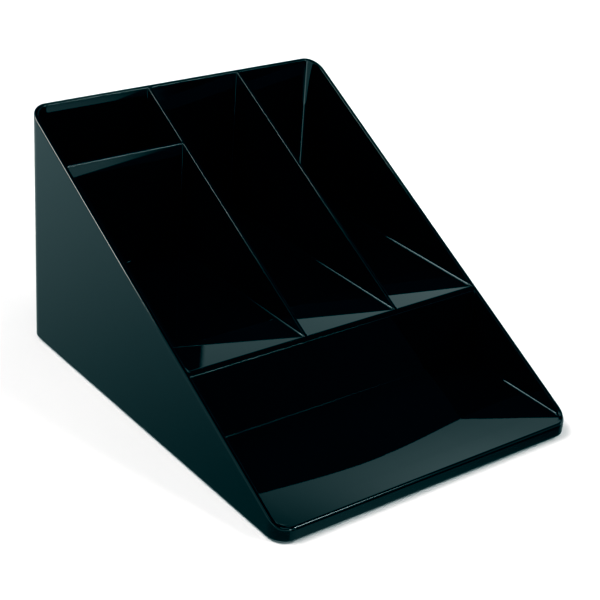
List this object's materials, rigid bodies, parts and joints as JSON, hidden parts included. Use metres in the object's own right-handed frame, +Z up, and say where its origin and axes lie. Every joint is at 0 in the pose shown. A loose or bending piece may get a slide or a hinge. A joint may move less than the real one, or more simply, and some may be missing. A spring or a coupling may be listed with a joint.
{
  "type": "stepped desk organiser",
  "caption": "Glossy black wedge-shaped desk organiser with a sloping rim, stepped floors, open divided pockets and a full-width front tray, on push-in rubber feet.",
  "frame": {"origin": "centre of the footprint on the table, level with the undersides of the four feet", "axes": "+Z up, +Y towards the tall rear wall, +X to the right as seen from the front tray"},
  "size_m": [0.23, 0.287, 0.1634],
  "materials": {
    "moulding": "high gloss black injection moulding",
    "rubber_feet": "matt black rubber"
  },
  "bodies": {
    "root": {"left_side_wall": "moulding", "right_side_wall": "moulding", "rear_wall": "moulding", "front_wall": "moulding", "rear_left_corner": "moulding", "rear_right_corner": "moulding", "front_left_corner": "moulding", "front_right_corner": "moulding", "upper_floor": "moulding", "step_riser": "moulding", "front_tray_floor": "moulding", "left_divider": "moulding", "right_divider": "moulding", "cross_divider": "moulding", "front_left_foot_post": "moulding", "front_right_foot_post": "moulding", "rear_left_foot_post": "moulding", "rear_right_foot_post": "moulding", "front_left_foot": "rubber_feet", "front_right_foot": "rubber_feet", "rear_left_foot": "rubber_feet", "rear_right_foot": "rubber_feet"}
  },
  "joints": []
}
